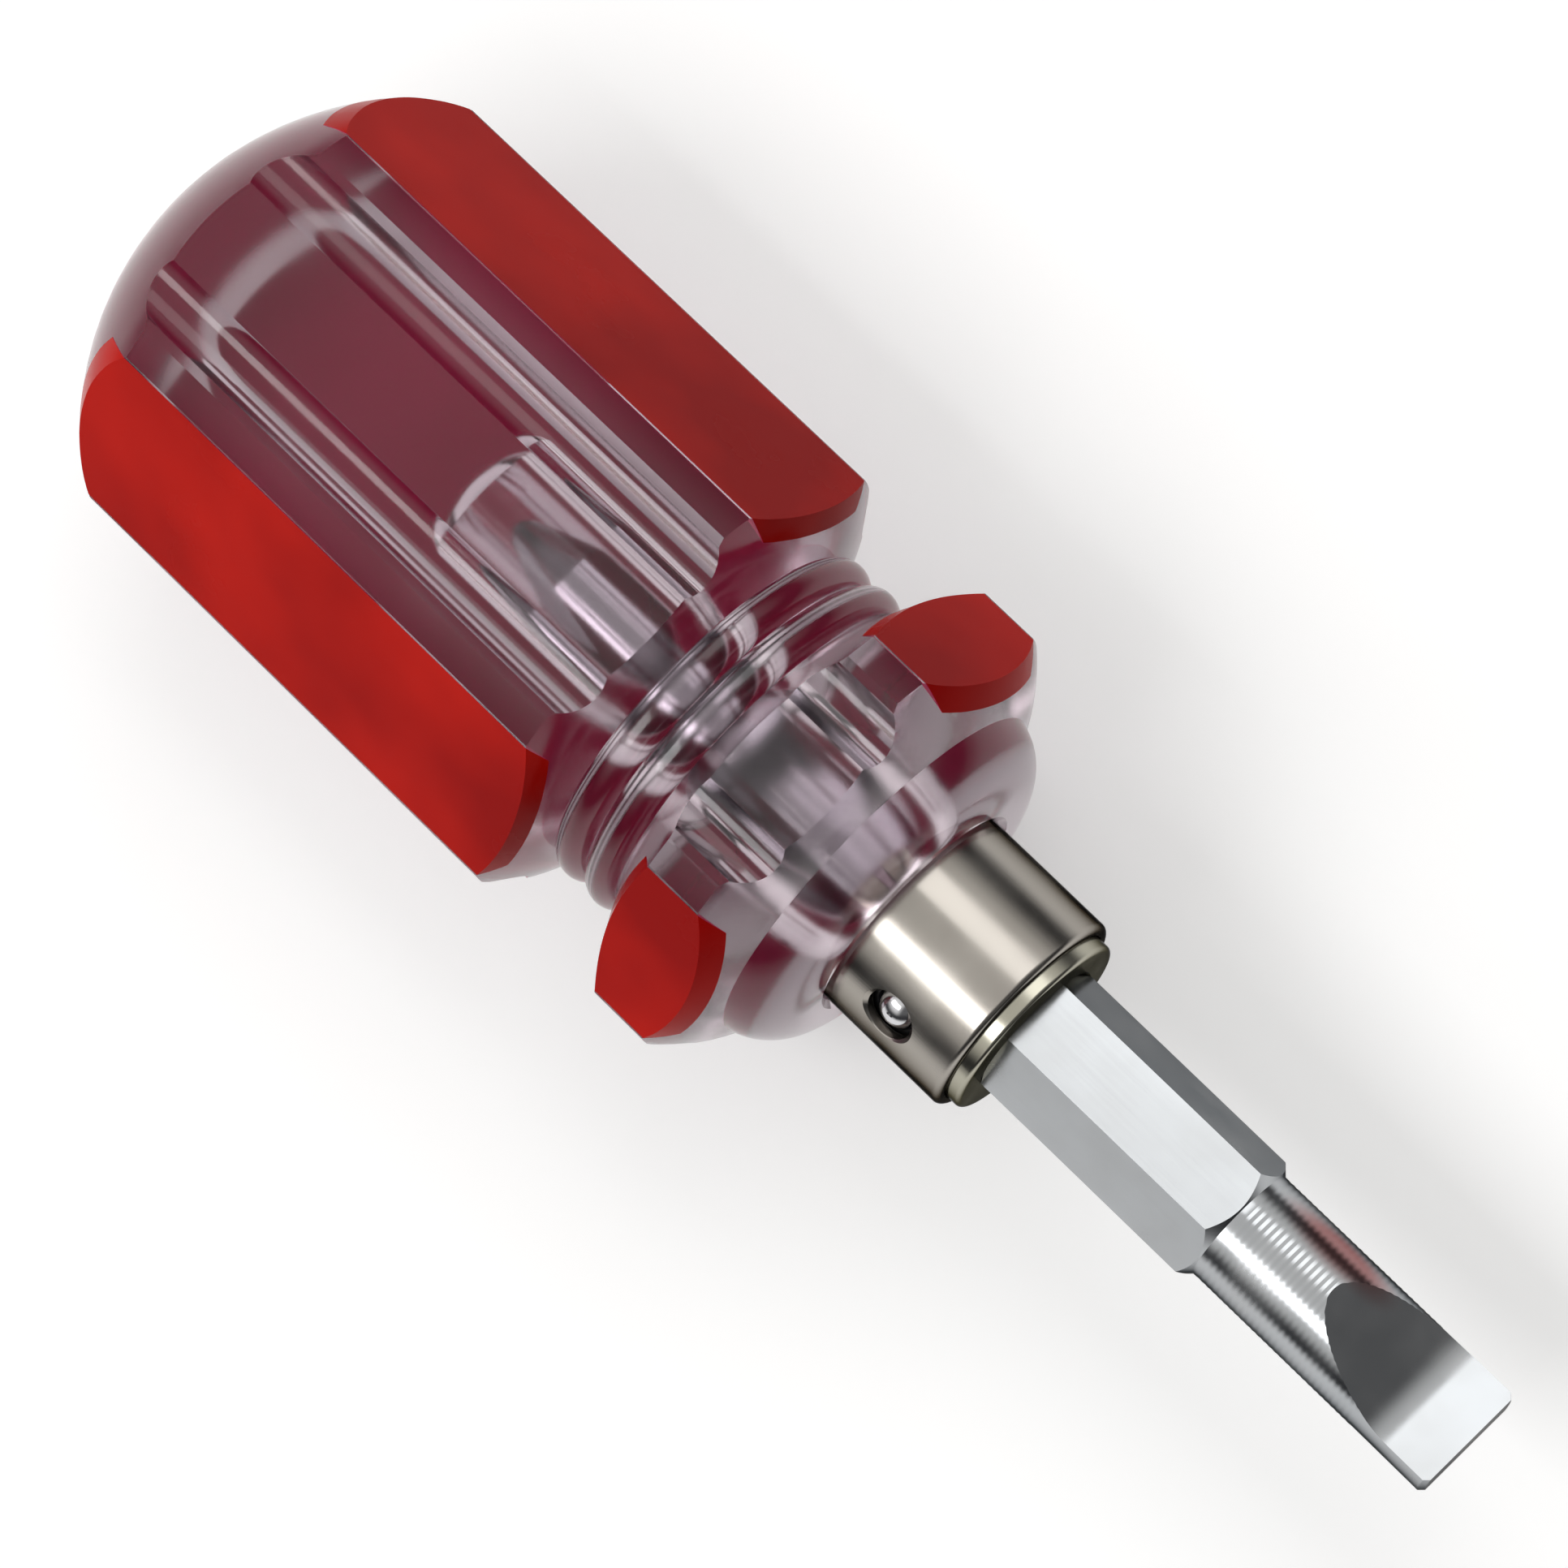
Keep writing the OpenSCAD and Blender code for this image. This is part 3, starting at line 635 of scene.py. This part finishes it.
world = bpy.data.worlds.new("soft sky")
bpy.context.scene.world = world
world.use_nodes = True
tree = world.node_tree
way = lay_node(tree, "SeparateXYZ", {
    "Vector": lay_node(tree, "TexCoord").outputs["Generated"]}).outputs
height = eased(tree, way["Z"], sky_low, sky_high)
ahead = eased(tree, way["X"], front_start, front_end, first=1.0, last=front_dim)
lit = lay_node(tree, "Math", {0: height, 1: ahead}, operation="MULTIPLY")
sky = lay_node(tree, "MixRGB", {
    "Fac": lit.outputs[0], "Color1": sky_dark, "Color2": sky_bright})
tree.links.new(sky.outputs[0], tree.nodes["Background"].inputs["Color"])


def along_tool(back):
    """The tool's direction, made square to the way that a lamp's or camera's back points."""
    return (Vector((1, 0, 0)) - back * back.x).normalized()


def stand(right, back):
    """Turns a lamp or camera so that its right side and its back point those ways."""
    return Matrix((right, back.cross(right), back)).transposed().to_4x4()


def soft_lamp(name, place, size, power):
    """Rectangular area lamp that faces the tool, its first side along it."""
    lamp = bpy.data.lights.new(name, "AREA")
    lamp.shape, lamp.size, lamp.size_y, lamp.energy = "RECTANGLE", size[0], size[1], power
    obj = bpy.data.objects.new(name, lamp)
    back = (Vector(place) - Vector((0, 0, axis_height))).normalized()
    obj.matrix_world = Matrix.Translation(place) @ stand(along_tool(back), back)
    bpy.context.scene.collection.objects.link(obj)


soft_lamp("left panel", place=(-0.14, 0.24, 0.42), size=(0.36, 0.24), power=0.39)
soft_lamp("right panel", place=(-0.10, -0.27, 0.42), size=(0.40, 0.16), power=1.0)

# Camera: it stands almost straight above, a little towards the tip and the tool's right side. It
# is rolled so that the tool runs from upper left to lower right.
tip_lean, side_lean, roll = math.radians(13), math.radians(2.6), math.radians(43.87)
aim_along, aim_side, distance = 41.3, 0.12, 0.3
lens, sensor, nearest = 145.06, 36, 0.01

aim = Vector((butt + aim_along * mm, aim_side * mm, axis_height))
back = Vector((math.sin(tip_lean), -math.cos(tip_lean) * math.sin(side_lean),
               math.cos(tip_lean) * math.cos(side_lean)))
along = along_tool(back)
right = along * math.cos(roll) + back.cross(along) * math.sin(roll)
camera = bpy.data.objects.new("camera", bpy.data.cameras.new("camera"))
camera.data.lens, camera.data.sensor_width, camera.data.clip_start = lens, sensor, nearest
camera.matrix_world = stand(right, back)
camera.location = aim + back * distance
bpy.context.scene.collection.objects.link(camera)
bpy.context.scene.camera = camera
bpy.context.scene.view_settings.view_transform = "Standard"
